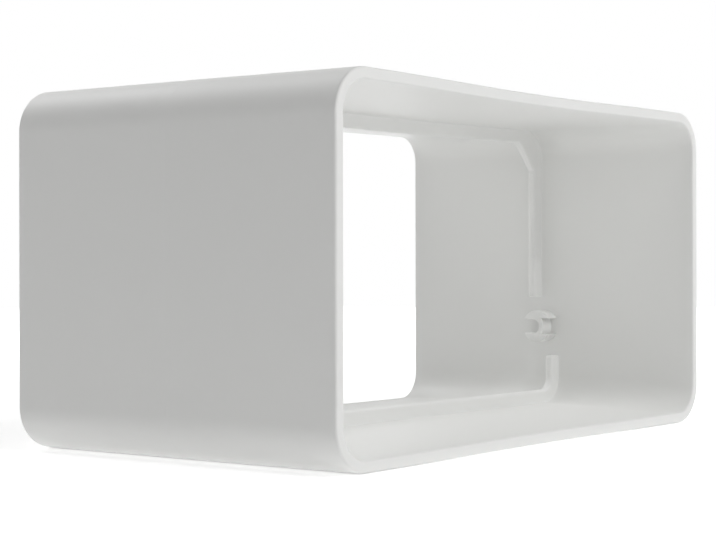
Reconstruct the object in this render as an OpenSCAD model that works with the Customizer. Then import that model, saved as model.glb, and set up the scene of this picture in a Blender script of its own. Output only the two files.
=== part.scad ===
// Flat duct connector: a short moulded sleeve that joins two flat rectangular ducts end to end.
// X runs across the width, Y runs along the duct with the near mouth at -Y, and Z points up.
// The origin is on the duct's axis, halfway between the two mouths.

/* [Duct that plugs in] */
// Outside width of the duct
duct_w = 110; // [90:1:200]
// Outside height of the duct
duct_h = 54; // [46:1:90]
// Outside corner radius of the duct
duct_corner_r = 5.2; // [4.2:0.1:9]
// Gap on each side between duct and sleeve at mid length, where the duct is fully home
seat_gap = 0.05; // [0.02:0.01:0.2]
// Gap on each side between duct and sleeve at the mouth
mouth_gap = 0.25; // [0.25:0.05:0.8]
// Gap above and below the duct at mid length, wider because the long walls sag as they cool
height_gap = 0.4; // [0.05:0.05:0.6]

/* [Sleeve] */
// Length from mouth to mouth
sleeve_len = 65; // [54:0.5:90]
// Wall thickness at mid length
wall_t = 1.95; // [1.6:0.05:3]
// How far each outer face draws in from mid length to a mouth
outer_draft = 0.1; // [0.1:0.01:0.2]
// Rounding of the outer edge of each mouth
rim_r = 0.4; // [0.2:0.05:0.9]
// Bevel inside each mouth that leads the duct in
lead_in = 0.3; // [0.1:0.05:0.5]

/* [Stop rib] */
// How far the rib stands in from the wall at mid length
rib_h = 2.6; // [1.5:0.1:3.6]
// Thickness of the rib along the duct
rib_t = 1.6; // [1.2:0.1:2.4]
// Rounding of the rib's tip
rib_edge_r = 0.5; // [0.2:0.05:0.55]
// Clear run between the lower half, in front, and the upper half, behind
flap_gap = 2.4; // [1.6:0.1:4]
// Leg of the web that cuts straight across each upper corner of the rib
web_leg = 5.4; // [2:0.1:8]
// Height of the break in the rib round each pivot
rib_break = 11.8; // [9:0.1:16]

/* [Pivot sockets] */
// Height of the sockets' axis, below the duct's axis
pivot_z = -11.8; // [-13:0.1:-6]
// Place of the sockets' axis along the duct
pivot_y = 0.4; // [0:0.05:0.6]
// Diameter of each socket
pivot_d = 6.3; // [5.8:0.1:8]
// How far each socket stands in from the wall
pivot_len = 3.3; // [2:0.1:4.5]
// Width of the slot that takes the flap's pin
pin_slot = 2.8; // [2:0.1:3]
// How far behind the socket's axis the pin sits in the slot's closed end
pin_back = 0.8; // [0.4:0.1:1]
// Wall of the slot's closed end
slot_wall = 0.95; // [0.6:0.05:1.1]
// Height of the pocket in front of that wall
pocket_h = 3.2; // [2.4:0.1:3.6]
// Bevel round the socket's free end
pivot_bevel = 0.3; // [0.1:0.05:0.4]

/* [Hidden] */
$fn = 96;
half_len = sleeve_len / 2;
// Inside corner radius, and the corner centres, which all the surfaces share
inner_r = duct_corner_r + seat_gap;
corner_x = duct_w / 2 - duct_corner_r;
corner_z = duct_h / 2 + height_gap - inner_r;
outer_r = inner_r + wall_t;
inner_x = corner_x + inner_r;
inner_z = corner_z + inner_r;
mouth_r = duct_corner_r + mouth_gap;
// The rib halves' opening, and the Y of each half's near face
rib_x = inner_x - rib_h;
rib_z = inner_z - rib_h;
upper_rib_y = flap_gap / 2;
lower_rib_y = -flap_gap / 2 - rib_t;
break_top = pivot_z + rib_break / 2;
break_bottom = pivot_z - rib_break / 2;
// Pieces that join the wall run this far into it
embed = wall_t / 2;
pin_r = pin_slot / 2;
// Cutters run this far past what they cut
over = 1;

// A solid whose outline is a rectangle with round corners. The child is its section at a wall,
// drawn outwards from the corner centre along X, and along the duct along Y, from y0 to y1.
module rounded_form(y0, y1) {
    for (sx = [-1, 1], sz = [-1, 1])
        translate([sx * corner_x, 0, sz * corner_z])
            rotate([-90, 0, 0])
                rotate_extrude() children();
    linear_extrude(2 * corner_z, center = true)
        both_sides(corner_x, y0, y1) children();
    rotate([0, -90, 0])
        linear_extrude(2 * corner_x, center = true)
            both_sides(corner_z, y0, y1) children();
}

// The wall section on the two opposite sides of a core of the given half width
module both_sides(core, y0, y1) {
    translate([-core, y0]) square([2 * core, y1 - y0]);
    for (side = [0, 1])
        mirror([side, 0])
            translate([core, 0]) children();
}

// Outside of the sleeve: widest at mid length, drawn in to the mouths, with a round outer edge there
module outer_section() {
    slope = outer_draft / half_len;
    lean = sqrt(1 + slope * slope);
    rim_y = half_len - rim_r;
    rim_x = outer_r - slope * rim_y - rim_r * lean;
    for (end = [0, 1])
        mirror([0, end]) {
            polygon([
                [0, 0],
                [outer_r, 0],
                [rim_x + rim_r / lean, rim_y + rim_r * slope / lean],
                [rim_x, half_len],
                [0, half_len]
            ]);
            translate([rim_x, rim_y]) circle(rim_r);
        }
}

// Inside of the sleeve: narrowest at mid length, opening to the mouths, with a bevel at each
module inner_section() {
    bevel_y = half_len - lead_in;
    bevel_x = inner_r + (mouth_r - inner_r) * bevel_y / half_len;
    for (end = [0, 1])
        mirror([0, end])
            polygon([
                [0, 0],
                [inner_r, 0],
                [bevel_x, bevel_y],
                [bevel_x + lead_in + over, half_len + over],
                [0, half_len + over]
            ]);
}

module sleeve() {
    difference() {
        rounded_form(-half_len, half_len) outer_section();
        rounded_form(-half_len - over, half_len + over) inner_section();
    }
}

// Section of the rib, from its round tip at X = 0 outwards, and from its near face at Y = 0
module rib_section(depth) {
    translate([rib_edge_r, 0]) square([depth - rib_edge_r, rib_t]);
    translate([0, rib_edge_r]) square([depth, rib_t - 2 * rib_edge_r]);
    for (y = [rib_edge_r, rib_t - rib_edge_r])
        translate([rib_edge_r, y]) circle(rib_edge_r);
}

// A straight length of rib along Z, from z0 to z1, with its tip at the given distance from the axis
module rib_bar(tip, z0, z1, depth = rib_h + embed) {
    translate([tip, 0, z0])
        linear_extrude(z1 - z0) rib_section(depth);
}

// The room that a rib half may fill: from the axis to halfway into the sleeve's wall
module rib_stock(near_y) {
    translate([0, near_y, 0])
        rounded_form(0, rib_t)
            square([inner_r + embed, rib_t]);
}

// The upper half stands behind, with a straight web across each corner
module upper_rib() {
    web_depth = 3 * rib_h;
    web_tip = (rib_x + rib_z - web_leg) / sqrt(2);
    intersection() {
        rib_stock(upper_rib_y);
        translate([0, upper_rib_y, 0]) {
            rotate([0, -90, 0]) rib_bar(rib_z, -inner_x - embed, inner_x + embed);
            for (side = [0, 1])
                mirror([side, 0, 0]) {
                    side_leg(1);
                    rotate([0, -45, 0]) rib_bar(web_tip, -inner_z, inner_x, web_depth);
                }
        }
    }
}

// The lower half stands in front, with corners that follow the sleeve's own
module lower_rib() {
    intersection() {
        rib_stock(lower_rib_y);
        translate([0, lower_rib_y, 0]) {
            rotate([0, 90, 0]) rib_bar(rib_z, -corner_x, corner_x);
            for (side = [0, 1])
                mirror([side, 0, 0]) {
                    side_leg(-1);
                    translate([corner_x, 0, -corner_z])
                        rotate([-90, 0, 0])
                            rotate_extrude(angle = 90)
                                translate([inner_r - rib_h, 0]) rib_section(rib_h + embed);
                }
        }
    }
}

// The rib on a side wall, up from the pivot or down from it, with a round free end
module side_leg(up) {
    intersection() {
        if (up > 0) rib_bar(rib_x, break_top, inner_z + embed);
        else rib_bar(rib_x, -corner_z, break_bottom);
        rotate([0, -90 * up, 0])
            rib_bar(up * (up > 0 ? break_top : break_bottom), -inner_x - embed, inner_x + embed, 2 * inner_z);
    }
}

// A round socket on a side wall. A slot open to the back takes the flap's pin, and a pocket in
// front leaves an even wall round the slot's closed end.
module pivot_socket() {
    root = inner_x + embed;
    reach = pivot_len + embed;
    translate([root, pivot_y, pivot_z])
        rotate([0, -90, 0])
            difference() {
                union() {
                    cylinder(h = reach - pivot_bevel, d = pivot_d);
                    translate([0, 0, reach - pivot_bevel])
                        cylinder(h = pivot_bevel, d1 = pivot_d, d2 = pivot_d - 2 * pivot_bevel);
                }
                translate([0, pin_back, embed]) {
                    cylinder(h = reach, r = pin_r);
                    translate([-pin_r, 0, 0]) cube([2 * pin_r, pivot_d, reach]);
                    difference() {
                        translate([-pocket_h / 2, -pivot_d, 0]) cube([pocket_h, pivot_d, reach]);
                        translate([0, 0, -over]) cylinder(h = reach + 2 * over, r = pin_r + slot_wall);
                    }
                }
            }
}

module connector_body() {
    color("white") {
        sleeve();
        upper_rib();
        lower_rib();
        for (side = [0, 1])
            mirror([side, 0, 0]) pivot_socket();
    }
}

connector_body();
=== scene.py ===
import math

import bmesh
import bpy
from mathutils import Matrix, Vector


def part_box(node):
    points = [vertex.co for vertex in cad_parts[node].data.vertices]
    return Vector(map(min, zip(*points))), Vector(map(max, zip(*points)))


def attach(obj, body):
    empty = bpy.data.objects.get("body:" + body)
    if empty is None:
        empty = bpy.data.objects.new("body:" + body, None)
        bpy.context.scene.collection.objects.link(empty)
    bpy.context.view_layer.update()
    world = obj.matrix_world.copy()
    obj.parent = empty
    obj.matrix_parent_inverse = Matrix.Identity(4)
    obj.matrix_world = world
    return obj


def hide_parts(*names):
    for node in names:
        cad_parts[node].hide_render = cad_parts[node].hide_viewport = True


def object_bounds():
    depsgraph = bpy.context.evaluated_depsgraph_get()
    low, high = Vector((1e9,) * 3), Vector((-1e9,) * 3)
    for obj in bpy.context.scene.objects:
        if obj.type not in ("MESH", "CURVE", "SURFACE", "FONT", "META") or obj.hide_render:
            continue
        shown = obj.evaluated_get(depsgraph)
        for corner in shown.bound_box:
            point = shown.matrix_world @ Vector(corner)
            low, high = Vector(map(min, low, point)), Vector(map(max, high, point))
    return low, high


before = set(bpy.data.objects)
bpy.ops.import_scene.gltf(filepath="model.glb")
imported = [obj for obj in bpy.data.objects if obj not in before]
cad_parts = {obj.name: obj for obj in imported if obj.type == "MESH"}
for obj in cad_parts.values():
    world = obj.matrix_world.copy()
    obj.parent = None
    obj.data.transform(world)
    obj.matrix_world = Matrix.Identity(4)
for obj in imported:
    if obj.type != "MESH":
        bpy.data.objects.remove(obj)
cad_low, cad_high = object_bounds()

# Camera
# The connector is seen level, just above its middle, past the upright edge at -X, -Y. The near
# mouth opens to the right of that edge, and the outside of a short wall lies to its left.
PHOTO_WIDTH = 716
PHOTO_HEIGHT = 540
FOCAL_PIXELS = 1765.5
VANISHING_PIXEL = (377.8, 262.5)
VIEW_TURN = math.radians(53.78)
VIEW_DISTANCE = 0.31288
VIEW_OFFSIDE = -0.00158
VIEW_HEIGHT = 0.00106
VIEW_ROLL = -0.0017


def aim_camera():
    """A level camera whose line of sight is turned from +Y towards +X."""
    along = (math.sin(VIEW_TURN), math.cos(VIEW_TURN))
    aside = (along[1], -along[0])
    data = bpy.data.cameras.new("product_camera")
    data.sensor_width = 36
    data.lens = FOCAL_PIXELS * data.sensor_width / PHOTO_WIDTH
    data.shift_x = (PHOTO_WIDTH / 2 - VANISHING_PIXEL[0]) / PHOTO_WIDTH
    data.shift_y = (VANISHING_PIXEL[1] - PHOTO_HEIGHT / 2) / PHOTO_WIDTH
    data.clip_start = 0.01
    camera = bpy.data.objects.new("product_camera", data)
    camera.location = (
        -along[0] * VIEW_DISTANCE + aside[0] * VIEW_OFFSIDE,
        -along[1] * VIEW_DISTANCE + aside[1] * VIEW_OFFSIDE,
        VIEW_HEIGHT,
    )
    camera.rotation_euler = (math.pi / 2, -VIEW_ROLL, -VIEW_TURN)
    bpy.context.scene.collection.objects.link(camera)
    bpy.context.scene.camera = camera


aim_camera()

# White plastic
# The whole connector is one shot of white ABS from a polished mould: a satin skin with a faint
# orange peel, a little uneven in gloss and tone where the melt flowed and cooled.
PLASTIC_WHITE = (0.84, 0.842, 0.828)
PLASTIC_SHADE = (0.81, 0.812, 0.80)
PLASTIC_GLOSS = (0.44, 0.56)
PEEL_PITCH = 0.0007
PEEL_DEPTH = 0.000004
FLOW_PITCH = 0.03


def place_node(tree, kind, inputs=None, **settings):
    """A node with its settings made and its inputs joined, or set where they are plain values."""
    node = tree.nodes.new(kind)
    for name, value in settings.items():
        setattr(node, name, value)
    for place, value in (inputs or {}).items():
        if isinstance(value, bpy.types.NodeSocket):
            tree.links.new(value, node.inputs[place])
        else:
            node.inputs[place].default_value = value
    return node


def satin_white_plastic():
    """Satin white plastic with orange peel, and slow changes of tone and gloss."""
    material = bpy.data.materials.new("satin_white_plastic")
    material.use_nodes = True
    tree = material.node_tree
    shader = tree.nodes["Principled BSDF"]
    here = place_node(tree, "ShaderNodeTexCoord").outputs["Object"]
    flow = place_node(
        tree, "ShaderNodeTexNoise", {"Vector": here, "Scale": 1 / FLOW_PITCH, "Detail": 3}
    ).outputs["Fac"]
    peel = place_node(
        tree, "ShaderNodeTexNoise", {"Vector": here, "Scale": 1 / PEEL_PITCH, "Detail": 2}
    ).outputs["Fac"]
    tone = place_node(
        tree,
        "ShaderNodeMix",
        {"Factor": flow, 6: (*PLASTIC_SHADE, 1), 7: (*PLASTIC_WHITE, 1)},
        data_type="RGBA",
    )
    gloss = place_node(
        tree,
        "ShaderNodeMapRange",
        {"Value": flow, "To Min": PLASTIC_GLOSS[0], "To Max": PLASTIC_GLOSS[1]},
    )
    bump = place_node(
        tree, "ShaderNodeBump", {"Height": peel, "Distance": PEEL_DEPTH, "Strength": 1.0}
    )
    tree.links.new(tone.outputs[2], shader.inputs["Base Color"])
    tree.links.new(gloss.outputs["Result"], shader.inputs["Roughness"])
    tree.links.new(bump.outputs["Normal"], shader.inputs["Normal"])
    return material


plastic = satin_white_plastic()

# Sleeve and stop rib
# A short rectangular tube that two ducts push into from either end, with the rib that stops them
# moulded on its inside. The rib is in two halves, the lower one in front, and it breaks round each
# pivot, where a flap could hang. Its section is swept round the wall in one closed skin.
WALL = 0.00195
INNER_CORNER = 0.00525
OUTER_DRAFT = 0.00004
INNER_DRAFT = 0.00005
RIM_ROUND = 0.0004
MOUTH_ROUND = 0.0003
RIB_HEIGHT = 0.0026
RIB_FACES = (0.0012, 0.0028)
RIB_DRAFT = 0.00003
RIB_TIP_ROUND = 0.0005
RIB_ROOT_ROUND = 0.0002
WEB_LEG = 0.0054
BREAK_TOP = -0.0059
BREAK_BOTTOM = -0.0177
# Spacing of the stations round the wall, and of the rows along the duct. Beside each curve there is
# one more at a short distance, so that the shading of the flat next to it stays flat.
STATION_PITCH = 0.0025
ROW_PITCH = 0.004
CORNER_STEPS = 24
EDGE_STEPS = 6
FILLET_STEPS = 3
EASE = 0.00015
# How far the long walls sank as they cooled, how much the floor thickens towards the rib, and the
# marks that the mould left outside
TOP_SAG = 0.00044
BOTTOM_SAG = 0.0002
FLOOR_RISE = 0.0005
RISE_HEIGHTS = (-0.019, -0.0245)
SINK_DEPTH = 0.00003
SINK_WIDTH = 0.0011
SINK_REACH = 0.005
SINK_PITCH = 0.0003
PARTING_RIDGE = 0.00003
PARTING_WIDTH = 0.00012

half_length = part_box("connector_body")[1].y
half_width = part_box("connector_body")[1].x
half_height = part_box("connector_body")[1].z
core_x = half_width - WALL - INNER_CORNER
core_z = half_height - WALL - INNER_CORNER
wall_x = core_x + INNER_CORNER
wall_z = core_z + INNER_CORNER


def spread(start, stop, pitch):
    """Even steps from start up to, but without, stop."""
    count = max(1, math.ceil(abs(stop - start) / pitch))
    return [start + (stop - start) * i / count for i in range(count)]


def quarter(steps):
    """Angles of a quarter turn, both ends included."""
    return [math.pi / 2 * i / steps for i in range(steps + 1)]


def free_end(depth):
    """Height of a rib at a depth behind its free end: a root fillet, then a round shoulder."""
    if depth <= -RIB_ROOT_ROUND:
        return 0.0
    if depth < 0:
        return RIB_ROOT_ROUND - math.sqrt(RIB_ROOT_ROUND**2 - (RIB_ROOT_ROUND + depth) ** 2)
    short = max(0.0, RIB_TIP_ROUND - depth)
    return RIB_HEIGHT - RIB_TIP_ROUND + math.sqrt(RIB_TIP_ROUND**2 - short**2)


def end_depths():
    """Depths at which a free end needs a station, from ahead of its fillet to past its shoulder."""
    fillet = [-RIB_ROOT_ROUND * math.cos(a) for a in quarter(FILLET_STEPS)[:-1]]
    shoulder = [RIB_TIP_ROUND * (1 - math.cos(a)) for a in quarter(EDGE_STEPS)]
    return [-RIB_ROOT_ROUND - EASE, *fillet, -RIB_DRAFT, *shoulder, RIB_TIP_ROUND + EASE]


def half_outline():
    """Stations on the inner wall from the middle of the top, down the +X wall, to the middle of
    the bottom: (x, z, outward x, outward z)."""
    web_top = wall_x - RIB_HEIGHT - WEB_LEG
    web_foot = wall_z - RIB_HEIGHT - WEB_LEG
    top = spread(0, web_top, STATION_PITCH) + spread(web_top, core_x - EASE, STATION_PITCH)
    stations = [(x, wall_z, 0, 1) for x in [*top, core_x - EASE]]
    for a in quarter(CORNER_STEPS):
        out_x, out_z = math.sin(a), math.cos(a)
        stations.append((core_x + INNER_CORNER * out_x, core_z + INNER_CORNER * out_z, out_x, out_z))
    upper_end = sorted((BREAK_TOP + d for d in end_depths()), reverse=True)
    lower_end = sorted((BREAK_BOTTOM - d for d in end_depths()), reverse=True)
    heights = [
        *spread(core_z - EASE, web_foot, STATION_PITCH),
        *spread(web_foot, upper_end[0], STATION_PITCH),
        *upper_end,
        *spread(upper_end[-1], lower_end[0], STATION_PITCH)[1:],
        *lower_end,
        *spread(lower_end[-1], EASE - core_z, STATION_PITCH)[1:],
        EASE - core_z,
    ]
    stations += [(wall_x, z, 1, 0) for z in heights]
    for a in quarter(CORNER_STEPS):
        out_x, out_z = math.cos(a), -math.sin(a)
        stations.append((core_x + INNER_CORNER * out_x, INNER_CORNER * out_z - core_z, out_x, out_z))
    bottom = spread(core_x - EASE, 0, STATION_PITCH)
    return stations + [(x, -wall_z, 0, -1) for x in bottom] + [(0, -wall_z, 0, -1)]


def upper_rise(x, z, out_x, out_z):
    """From the wall to the tip of the upper rib half, whose corners a straight web cuts across."""
    tip_x, tip_z = wall_x - RIB_HEIGHT, wall_z - RIB_HEIGHT
    web_top, web_foot = tip_x - WEB_LEG, tip_z - WEB_LEG
    if out_z < 0 or (out_z == 0 and z < BREAK_TOP - RIB_ROOT_ROUND):
        return 0.0, 0.0
    if out_z == 1 and x <= web_top:
        return 0.0, -RIB_HEIGHT
    if out_z == 0 and z <= web_foot:
        return -free_end(z - BREAK_TOP), 0.0
    arc = INNER_CORNER * math.atan2(out_x, out_z)
    run = min(x, core_x) - web_top + arc + core_z - min(z, core_z)
    share = run / (core_x - web_top + INNER_CORNER * math.pi / 2 + core_z - web_foot)
    return web_top + share * WEB_LEG - x, tip_z - share * WEB_LEG - z


def lower_rise(x, z, out_x, out_z):
    """From the wall to the tip of the lower rib half, which follows the wall at one height."""
    if out_z > 0 or (out_z == 0 and z > BREAK_BOTTOM + RIB_ROOT_ROUND):
        return 0.0, 0.0
    height = free_end(BREAK_BOTTOM - z) if out_z == 0 else RIB_HEIGHT
    return -height * out_x, -height * out_z


def wall_outline():
    """The closed path of the sweep. Each station carries the rise of both rib halves."""
    right = half_outline()
    left = [(-x, z, -out_x, out_z) for x, z, out_x, out_z in reversed(right[1:-1])]
    rises = {
        "upper_rise": [upper_rise(*station) for station in right],
        "lower_rise": [lower_rise(*station) for station in right],
    }
    loop = right + left
    mesh = bpy.data.meshes.new("wall_outline")
    links = [(i, (i + 1) % len(loop)) for i in range(len(loop))]
    mesh.from_pydata([(x, 0, z) for x, z, _, _ in loop], links, [])
    for name, rise in rises.items():
        mirrored = [(-x, z) for x, z in reversed(rise[1:-1])]
        attribute = mesh.attributes.new(name, "FLOAT_VECTOR", "POINT")
        for point, (x, z) in zip(attribute.data, rise + mirrored):
            point.vector = (x, 0, z)
    return bpy.data.objects.new("wall_outline", mesh)


def half_section():
    """One end of the wall's section, from mid length outside, round the mouth, to mid length
    inside: (place along the duct, distance out, rise from the wall, drop from the rib's tip,
    on the tip or not, outside or not)."""
    rim_y, rim_out = half_length - RIM_ROUND, WALL - PARTING_RIDGE - OUTER_DRAFT - RIM_ROUND
    mouth_y, mouth_out = half_length - MOUTH_ROUND, INNER_DRAFT + MOUTH_ROUND
    near, far = RIB_FACES[0] + RIB_DRAFT, RIB_FACES[1] - RIB_DRAFT
    root_near, root_far = RIB_FACES[0] - RIB_ROOT_ROUND, RIB_FACES[1] + RIB_ROOT_ROUND
    outside = [share * PARTING_WIDTH for share in (0, 0.4, 1, 2)]
    outside += spread(4 * PARTING_WIDTH, SINK_REACH, SINK_PITCH)
    outside += spread(SINK_REACH, rim_y - EASE, ROW_PITCH) + [rim_y - EASE]
    skin = WALL - PARTING_RIDGE
    rows = [(y, skin - OUTER_DRAFT * y / half_length, 0, 0, 0, 1) for y in outside]
    for a in quarter(EDGE_STEPS + 2):
        rows.append((rim_y + RIM_ROUND * math.sin(a), rim_out + RIM_ROUND * math.cos(a), 0, 0, 0, 0))
    for a in quarter(EDGE_STEPS):
        out = mouth_out - MOUTH_ROUND * math.sin(a)
        rows.append((mouth_y + MOUTH_ROUND * math.cos(a), out, 0, 0, 0, 0))
    inside = spread(mouth_y - EASE, root_far + EASE, ROW_PITCH) + [root_far + EASE]
    rows += [(y, INNER_DRAFT * y / half_length, 0, 0, 0, 0) for y in inside]
    for a in quarter(FILLET_STEPS)[:-1]:
        rise = RIB_ROOT_ROUND * (1 - math.cos(a))
        rows.append((root_far - RIB_ROOT_ROUND * math.sin(a), 0, rise, 0, 0, 0))
    rows.append((RIB_FACES[1], 0, RIB_ROOT_ROUND, 0, 0, 0))
    for a in quarter(EDGE_STEPS):
        y = far - RIB_TIP_ROUND * (1 - math.cos(a))
        rows.append((y, 0, 0, RIB_TIP_ROUND * (1 - math.sin(a)), 1, 0))
    for a in reversed(quarter(EDGE_STEPS)):
        y = near + RIB_TIP_ROUND * (1 - math.cos(a))
        rows.append((y, 0, 0, RIB_TIP_ROUND * (1 - math.sin(a)), 1, 0))
    rows.append((RIB_FACES[0], 0, RIB_ROOT_ROUND, 0, 0, 0))
    for a in reversed(quarter(FILLET_STEPS)[:-1]):
        rise = RIB_ROOT_ROUND * (1 - math.cos(a))
        rows.append((root_near + RIB_ROOT_ROUND * math.sin(a), 0, rise, 0, 0, 0))
    return rows + [(root_near - EASE, 0, 0, 0, 0, 0), (0, 0, 0, 0, 0, 0)]


def wall_section():
    """The wall's closed section. Its +Y end carries the upper rib half and its -Y end the lower."""
    back = half_section()
    front = [(-y, *rest) for y, *rest in reversed(back[1:-1])]
    rows = [(*row, 1) for row in back] + [(*row, 0) for row in front]
    rows.reverse()
    mesh = bpy.data.meshes.new("wall_section")
    links = [(i, (i + 1) % len(rows)) for i in range(len(rows))]
    mesh.from_pydata([(row[0], row[1], 0) for row in rows], links, [])
    for place, name in enumerate(("from_wall", "from_tip", "on_tip", "outside", "upper"), start=2):
        attribute = mesh.attributes.new(name, "FLOAT", "POINT")
        for point, row in zip(attribute.data, rows):
            point.value = row[place]
    return bpy.data.objects.new("wall_section", mesh)


def math_node(tree, operation, *values):
    """The result of one step of arithmetic."""
    return place_node(
        tree, "ShaderNodeMath", dict(enumerate(values)), operation=operation
    ).outputs[0]


def vector_node(tree, operation, inputs, output=0):
    """The result of one step of vector arithmetic."""
    return place_node(tree, "ShaderNodeVectorMath", inputs, operation=operation).outputs[output]


def carried(tree, name, kind="FLOAT"):
    """A value that the outline or the section carries into the mesh."""
    return place_node(
        tree, "GeometryNodeInputNamedAttribute", {"Name": name}, data_type=kind
    ).outputs["Attribute"]


def moved(tree, geometry, offset):
    """The geometry with its points moved."""
    return place_node(
        tree, "GeometryNodeSetPosition", {"Geometry": geometry, "Offset": offset}
    ).outputs["Geometry"]


def place_parts(tree):
    """Each point's X, Y and Z, as they are at the step that reads them."""
    place = place_node(tree, "GeometryNodeInputPosition").outputs["Position"]
    return place_node(tree, "ShaderNodeSeparateXYZ", {"Vector": place}).outputs


def lifted(tree, geometry, height):
    """The geometry with its points moved up."""
    up = place_node(tree, "ShaderNodeCombineXYZ", {"Z": height}).outputs["Vector"]
    return moved(tree, geometry, up)


def new_tree(name, sockets):
    """An empty geometry tree with the given inputs, its input node, and its output node."""
    tree = bpy.data.node_groups.new(name, "GeometryNodeTree")
    tree.interface.new_socket("Geometry", in_out="INPUT", socket_type="NodeSocketGeometry")
    for label, kind in sockets.items():
        tree.interface.new_socket(label, in_out="INPUT", socket_type="NodeSocket" + kind)
    tree.interface.new_socket("Geometry", in_out="OUTPUT", socket_type="NodeSocketGeometry")
    return tree, tree.nodes.new("NodeGroupInput"), tree.nodes.new("NodeGroupOutput")


def bell(tree, distance, width):
    """A smooth hump, 1 at no distance and near 0 at twice the width."""
    share = math_node(tree, "DIVIDE", distance, width)
    square = math_node(tree, "MULTIPLY", share, share)
    return math_node(tree, "EXPONENT", math_node(tree, "MULTIPLY", square, -1.0))


def ribbed_sleeve_tree():
    """Sweeps a section round an outline, raises the rib halves, and adds sag and mould marks."""
    sizes = (
        "Top Sag", "Bottom Sag", "Sag Half Width", "Floor Rise", "Rise From", "Rise To",
        "Half Length", "Sink Depth", "Sink Width", "Rib Place", "Ridge Height", "Ridge Width",
    )
    kinds = {"Outline": "Object", "Plastic": "Material", **{name: "Float" for name in sizes}}
    tree, given, result = new_tree("Ribbed Sleeve", kinds)
    given = given.outputs
    outline = place_node(tree, "GeometryNodeObjectInfo", {"Object": given["Outline"]})
    path = place_node(tree, "GeometryNodeMeshToCurve", {"Mesh": outline.outputs["Geometry"]})
    path = place_node(
        tree,
        "GeometryNodeSetCurveNormal",
        {"Curve": path.outputs["Curve"], "Normal": (0, 1, 0)},
        mode="FREE",
    )
    section = place_node(tree, "GeometryNodeMeshToCurve", {"Mesh": given["Geometry"]})
    skin = place_node(
        tree,
        "GeometryNodeCurveToMesh",
        {"Curve": path.outputs["Curve"], "Profile Curve": section.outputs["Curve"]},
    ).outputs["Mesh"]

    # The rib's rows stand off the wall, or hang back from the tip, along each station's rise
    upper = carried(tree, "upper")
    upper_part = vector_node(
        tree, "SCALE", {0: carried(tree, "upper_rise", "FLOAT_VECTOR"), "Scale": upper}
    )
    lower_part = vector_node(
        tree,
        "SCALE",
        {
            0: carried(tree, "lower_rise", "FLOAT_VECTOR"),
            "Scale": math_node(tree, "SUBTRACT", 1.0, upper),
        },
    )
    rise = vector_node(tree, "ADD", {0: upper_part, 1: lower_part})
    height = vector_node(tree, "LENGTH", {0: rise}, "Value")
    half = math_node(tree, "MULTIPLY", height, 0.5)
    low = math_node(tree, "MINIMUM", carried(tree, "from_wall"), half)
    drop = math_node(tree, "MINIMUM", carried(tree, "from_tip"), half)
    high = math_node(tree, "SUBTRACT", height, drop)
    on_tip = carried(tree, "on_tip")
    reach = math_node(tree, "ADD", low, math_node(tree, "MULTIPLY", high, on_tip))
    direction = vector_node(tree, "NORMALIZE", {0: rise})
    skin = moved(tree, skin, vector_node(tree, "SCALE", {0: direction, "Scale": reach}))

    # Outside, the wall sinks behind the rib, and the mould's parting line stands proud
    along = place_parts(tree)["Y"]
    off_rib = math_node(tree, "SUBTRACT", math_node(tree, "ABSOLUTE", along), given["Rib Place"])
    ribbed = math_node(tree, "GREATER_THAN", height, given["Sink Width"])
    sink = math_node(tree, "MULTIPLY", bell(tree, off_rib, given["Sink Width"]), ribbed)
    sink = math_node(tree, "MULTIPLY", sink, given["Sink Depth"])
    ridge = bell(tree, along, given["Ridge Width"])
    ridge = math_node(tree, "MULTIPLY", ridge, given["Ridge Height"])
    mark = math_node(tree, "SUBTRACT", ridge, sink)
    mark = math_node(tree, "MULTIPLY", mark, carried(tree, "outside"))
    normal = place_node(tree, "GeometryNodeInputNormal").outputs["Normal"]
    skin = moved(tree, skin, vector_node(tree, "SCALE", {0: normal, "Scale": mark}))

    # Inside, the floor rises towards the rib
    place = place_parts(tree)
    lowness = place_node(
        tree,
        "ShaderNodeMapRange",
        {"Value": place["Z"], "From Min": given["Rise From"], "From Max": given["Rise To"]},
        interpolation_type="SMOOTHSTEP",
    ).outputs["Result"]
    off_middle = math_node(tree, "ABSOLUTE", place["Y"])
    off_middle = math_node(tree, "DIVIDE", off_middle, given["Half Length"])
    nearness = math_node(tree, "SUBTRACT", 1.0, off_middle)
    inside = math_node(tree, "SUBTRACT", 1.0, carried(tree, "outside"))
    lift = math_node(tree, "MULTIPLY", math_node(tree, "MULTIPLY", lowness, nearness), inside)
    skin = lifted(tree, skin, math_node(tree, "MULTIPLY", lift, given["Floor Rise"]))

    # The long walls sag towards each other, most at mid width
    off_centre = math_node(tree, "ABSOLUTE", place["X"])
    share = math_node(tree, "DIVIDE", off_centre, given["Sag Half Width"])
    share = math_node(tree, "MINIMUM", share, 1.0)
    wave = math_node(tree, "COSINE", math_node(tree, "MULTIPLY", share, math.pi))
    wave = math_node(tree, "MULTIPLY", math_node(tree, "ADD", wave, 1.0), 0.5)
    on_top = math_node(tree, "GREATER_THAN", place["Z"], 0.0)
    down = math_node(tree, "MULTIPLY", on_top, given["Top Sag"])
    on_bottom = math_node(tree, "SUBTRACT", 1.0, on_top)
    up = math_node(tree, "MULTIPLY", on_bottom, given["Bottom Sag"])
    shift = math_node(tree, "SUBTRACT", up, down)
    skin = lifted(tree, skin, math_node(tree, "MULTIPLY", shift, wave))

    skin = place_node(tree, "GeometryNodeRealizeInstances", {"Geometry": skin}).outputs[0]
    skin = place_node(
        tree, "GeometryNodeSetMaterial", {"Geometry": skin, "Material": given["Plastic"]}
    ).outputs[0]
    tree.links.new(skin, result.inputs["Geometry"])
    return tree


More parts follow.
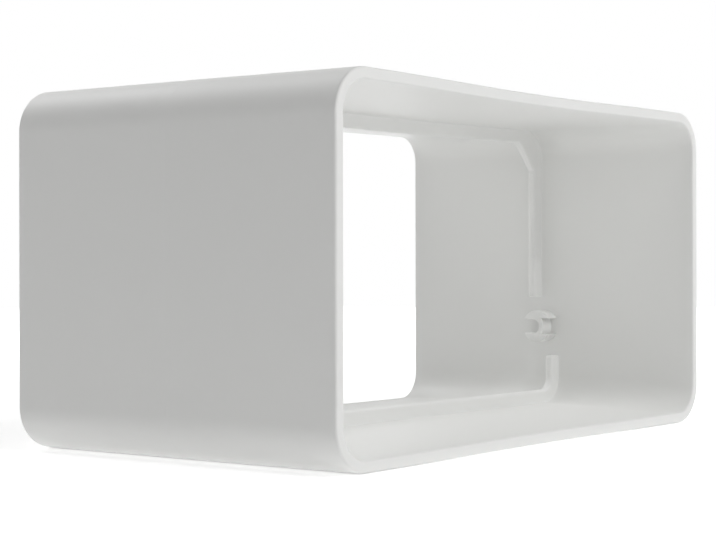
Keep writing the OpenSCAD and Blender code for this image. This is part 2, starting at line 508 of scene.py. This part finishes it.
def grown(seed, tree, values):
    """A plain mesh of what the tree makes from the seed object, with the given inputs."""
    bpy.context.scene.collection.objects.link(seed)
    modifier = seed.modifiers.new(tree.name, "NODES")
    modifier.node_group = tree
    for item in tree.interface.items_tree:
        if item.in_out == "INPUT" and item.name in values:
            modifier[item.identifier] = values[item.name]
    depsgraph = bpy.context.evaluated_depsgraph_get()
    mesh = bpy.data.meshes.new_from_object(seed.evaluated_get(depsgraph), depsgraph=depsgraph)
    seed.modifiers.remove(modifier)
    bpy.data.objects.remove(seed)
    return mesh


outline = wall_outline()
bpy.context.scene.collection.objects.link(outline)
sleeve_values = {
    "Outline": outline,
    "Plastic": plastic,
    "Top Sag": TOP_SAG,
    "Bottom Sag": BOTTOM_SAG,
    "Sag Half Width": core_x,
    "Floor Rise": FLOOR_RISE,
    "Rise From": RISE_HEIGHTS[0],
    "Rise To": RISE_HEIGHTS[1],
    "Half Length": half_length,
    "Sink Depth": SINK_DEPTH,
    "Sink Width": SINK_WIDTH,
    "Rib Place": sum(RIB_FACES) / 2,
    "Ridge Height": PARTING_RIDGE,
    "Ridge Width": PARTING_WIDTH,
}
sleeve_mesh = grown(wall_section(), ribbed_sleeve_tree(), sleeve_values)
bpy.data.objects.remove(outline)
sleeve = bpy.data.objects.new("sleeve", sleeve_mesh)
bpy.context.scene.collection.objects.link(sleeve)

# Pivot sockets
# A round socket stands in from each short wall, in the break of the rib. Its slot, open to the
# back, would take a flap's pin, and a pocket in front keeps its wall even. Both are moulded on.
SOCKET_RADIUS = 0.00315
SOCKET_LENGTH = 0.0033
SOCKET_AXIS = (0.0004, -0.0118)
SLOT_RADIUS = 0.0014
SLOT_BACK = 0.0008
SLOT_WALL = 0.00095
BULGE_RADIUS = 0.0036
POCKET_HALF_HEIGHT = 0.0016
SOCKET_ROUND = 0.0002
SOCKET_ROOT = 0.0009
SOCKET_STEPS = 20
SOCKET_ROUND_STEPS = 4
SHARP_ANGLE = math.radians(40)


def arc_points(centre_y, radius, start, stop):
    """Points of an arc round (centre_y, 0), as (y, z), both ends included."""
    turns = [start + (stop - start) * i / SOCKET_STEPS for i in range(SOCKET_STEPS + 1)]
    return [(centre_y + radius * math.cos(a), radius * math.sin(a)) for a in turns]


def socket_outline(inset):
    """The socket's outline round its axis, as (y, z), drawn in by the inset: two arcs that the
    curved wall between slot and pocket joins."""
    rim = SOCKET_RADIUS - inset
    slot = SLOT_RADIUS + inset
    pocket = POCKET_HALF_HEIGHT + inset
    bulge = BULGE_RADIUS - inset
    bulge_centre = SLOT_BACK - SLOT_RADIUS - SLOT_WALL + BULGE_RADIUS
    upper = arc_points(0, rim, math.asin(slot / rim), math.pi - math.asin(pocket / rim))
    flank = math.asin(pocket / bulge)
    front = arc_points(bulge_centre, bulge, math.pi - flank, math.pi + flank)
    seat = arc_points(SLOT_BACK, slot, math.pi * 1.5, math.pi * 0.5)
    return upper + front + [(y, -z) for y, z in reversed(upper)] + seat


def socket_mesh():
    """One socket on its axis, standing towards -X from a root inside the wall."""
    levels = [(SOCKET_ROOT, 0), (SOCKET_ROUND - SOCKET_LENGTH + EASE, 0)]
    for a in quarter(SOCKET_ROUND_STEPS):
        drop = SOCKET_ROUND * (1 - math.sin(a))
        levels.append((drop - SOCKET_LENGTH, SOCKET_ROUND * (1 - math.cos(a))))
    shape = bmesh.new()
    rings = []
    for x, inset in levels:
        rings.append([shape.verts.new((x, y, z)) for y, z in socket_outline(inset)])
    for low, high in zip(rings, rings[1:]):
        for i in range(len(low)):
            shape.faces.new((low[i - 1], low[i], high[i], high[i - 1]))
    ends = [shape.faces.new(rings[0]), shape.faces.new(rings[-1])]
    bmesh.ops.recalc_face_normals(shape, faces=shape.faces)
    bmesh.ops.triangulate(shape, faces=ends)
    mesh = bpy.data.meshes.new("pivot_socket")
    shape.to_mesh(mesh)
    shape.free()
    return bpy.data.objects.new("pivot_socket", mesh)


def pivot_sockets_tree():
    """Sets a socket on each short wall, turned half round the duct's axis from its twin, and fuses
    both with the wall."""
    kinds = {"Wall": "Object", "Wall Place": "Float", "Axis": "Vector", "Plastic": "Material"}
    tree, given, result = new_tree("Pivot Sockets", kinds)
    given = given.outputs
    left = place_node(
        tree, "ShaderNodeCombineXYZ", {"X": math_node(tree, "MULTIPLY", given["Wall Place"], -1.0)}
    ).outputs[0]
    right = place_node(tree, "ShaderNodeCombineXYZ", {"X": given["Wall Place"]}).outputs[0]
    ends = place_node(
        tree,
        "GeometryNodeMeshLine",
        {
            "Count": 2,
            "Start Location": vector_node(tree, "ADD", {0: left, 1: given["Axis"]}),
            "Offset": vector_node(tree, "ADD", {0: right, 1: given["Axis"]}),
        },
        mode="END_POINTS",
    )
    index = place_node(tree, "GeometryNodeInputIndex").outputs["Index"]
    turn = math_node(tree, "MULTIPLY", math_node(tree, "SUBTRACT", 1.0, index), math.pi)
    turn = place_node(tree, "ShaderNodeCombineXYZ", {"Y": turn}).outputs[0]
    turn = place_node(tree, "FunctionNodeEulerToRotation", {"Euler": turn}).outputs[0]
    pair = place_node(
        tree,
        "GeometryNodeInstanceOnPoints",
        {"Points": ends.outputs["Mesh"], "Instance": given["Geometry"], "Rotation": turn},
    ).outputs["Instances"]
    pair = place_node(tree, "GeometryNodeRealizeInstances", {"Geometry": pair}).outputs[0]
    wall = place_node(tree, "GeometryNodeObjectInfo", {"Object": given["Wall"]})
    fused = place_node(tree, "GeometryNodeMeshBoolean", operation="UNION", solver="MANIFOLD")
    tree.links.new(wall.outputs["Geometry"], fused.inputs["Mesh 2"])
    tree.links.new(pair, fused.inputs["Mesh 2"])
    whole = place_node(
        tree,
        "GeometryNodeSetMaterial",
        {"Geometry": fused.outputs["Mesh"], "Material": given["Plastic"]},
    ).outputs[0]
    tree.links.new(whole, result.inputs["Geometry"])
    return tree


socket_values = {
    "Wall": sleeve,
    "Wall Place": wall_x,
    "Axis": (0, SOCKET_AXIS[0], SOCKET_AXIS[1]),
    "Plastic": plastic,
}
moulding_mesh = grown(socket_mesh(), pivot_sockets_tree(), socket_values)
bpy.data.objects.remove(sleeve)
moulding_mesh.shade_smooth()
moulding_mesh.set_sharp_from_angle(angle=SHARP_ANGLE)
moulding = bpy.data.objects.new("moulded_connector", moulding_mesh)
bpy.context.scene.collection.objects.link(moulding)
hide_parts("connector_body")
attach(moulding, "root")

# Studio
# The connector stands on a light table with a white top, in front of white paper. The table glows
# a little from below, and soft square lamps stand round it, the brightest high in front.
FLOOR_RADIUS = 0.9
FLOOR_WHITE = 0.85
FLOOR_ROUGHNESS = 0.9
# To the eye the floor also glows: this much within the first distance of its middle, where the
# shadow lies, and fully white past the second
FLOOR_LIFT = 0.55
SHADOW_REACH = (0.10, 0.40)
FLOOR_STEPS = 64
TABLE_GLOW_WATTS = 3.3
TABLE_GAP = 0.0001
LAMP_DISTANCE = 0.9
LAMP_SIZE = 0.4
# A lamp lower than this gives light but no mirror image, which would whiten a face seen at a graze
LOW_LAMP = 30
# Each lamp's turn round the table from straight in front of the near mouth, the angle of its
# height, both in degrees, and its watts
LAMPS = {
    "front_lamp": (0, 45, 3.6),
    "front_side_lamp": (60, 45, 1.0),
    "side_lamp": (90, 15, 1.7),
    "back_lamp": (180, 15, 1.9),
    "high_back_lamp": (180, 45, 2.1),
    "back_near_lamp": (210, 15, 0.7),
    "near_lamp": (330, 15, 0.7),
}


def seen_by_eye(tree):
    """1 for what the camera, a reflection or glass sees, and 0 for light on a surface."""
    rays = place_node(tree, "ShaderNodeLightPath").outputs
    seen = math_node(tree, "MAXIMUM", rays["Is Camera Ray"], rays["Is Glossy Ray"])
    return math_node(tree, "MAXIMUM", seen, rays["Is Transmission Ray"])


def white_table_top():
    """A white disc that keeps the object's shadow near it and reads as white further out."""
    material = bpy.data.materials.new("studio_white")
    material.use_nodes = True
    tree = material.node_tree
    shader = tree.nodes["Principled BSDF"]
    shader.inputs["Base Color"].default_value = (FLOOR_WHITE, FLOOR_WHITE, FLOOR_WHITE, 1)
    shader.inputs["Roughness"].default_value = FLOOR_ROUGHNESS
    shader.inputs["Specular IOR Level"].default_value = 0.0
    here = place_node(tree, "ShaderNodeTexCoord").outputs["Object"]
    lift = place_node(
        tree,
        "ShaderNodeMapRange",
        {
            "Value": vector_node(tree, "LENGTH", {0: here}, "Value"),
            "From Min": SHADOW_REACH[0],
            "From Max": SHADOW_REACH[1],
            "To Min": FLOOR_LIFT,
            "To Max": 1.0,
        },
        interpolation_type="SMOOTHSTEP",
    ).outputs["Result"]
    glow = place_node(
        tree,
        "ShaderNodeEmission",
        {"Color": (1, 1, 1, 1), "Strength": math_node(tree, "MULTIPLY", seen_by_eye(tree), lift)},
    )
    both = place_node(
        tree, "ShaderNodeAddShader", {0: shader.outputs["BSDF"], 1: glow.outputs["Emission"]}
    )
    tree.links.new(both.outputs["Shader"], tree.nodes["Material Output"].inputs["Surface"])
    turns = [2 * math.pi * i / FLOOR_STEPS for i in range(FLOOR_STEPS)]
    rim = [(FLOOR_RADIUS * math.cos(a), FLOOR_RADIUS * math.sin(a), cad_low.z) for a in turns]
    mesh = bpy.data.meshes.new("studio_floor")
    mesh.from_pydata(rim, [], [tuple(range(FLOOR_STEPS))])
    mesh.materials.append(material)
    floor = bpy.data.objects.new("studio_floor", mesh)
    bpy.context.scene.collection.objects.link(floor)


def white_backdrop():
    """A world that is plain white to the eye and gives no light."""
    world = bpy.data.worlds.new("studio_world")
    world.use_nodes = True
    tree = world.node_tree
    background = tree.nodes["Background"]
    background.inputs["Color"].default_value = (1, 1, 1, 1)
    tree.links.new(seen_by_eye(tree), background.inputs["Strength"])
    bpy.context.scene.world = world


def soft_lamp(name, place, size, watts):
    """A square lamp that faces the middle of the object."""
    data = bpy.data.lights.new(name, "AREA")
    data.size = size
    data.energy = watts
    lamp = bpy.data.objects.new(name, data)
    lamp.location = place
    lamp.rotation_euler = (-lamp.location).to_track_quat("-Z", "Y").to_euler()
    bpy.context.scene.collection.objects.link(lamp)
    return lamp


white_table_top()
white_backdrop()
table_glow = soft_lamp(
    "table_glow", (0, 0, cad_low.z + TABLE_GAP), 2 * FLOOR_RADIUS, TABLE_GLOW_WATTS
)
table_glow.visible_camera = False
for name, (turn, height, watts) in LAMPS.items():
    across = LAMP_DISTANCE * math.cos(math.radians(height))
    up = LAMP_DISTANCE * math.sin(math.radians(height))
    aside = across * math.sin(math.radians(turn))
    ahead = across * math.cos(math.radians(turn))
    lamp = soft_lamp(name, (aside, -ahead, up), LAMP_SIZE, watts)
    lamp.visible_glossy = height >= LOW_LAMP

bpy.context.scene.view_settings.view_transform = "Standard"
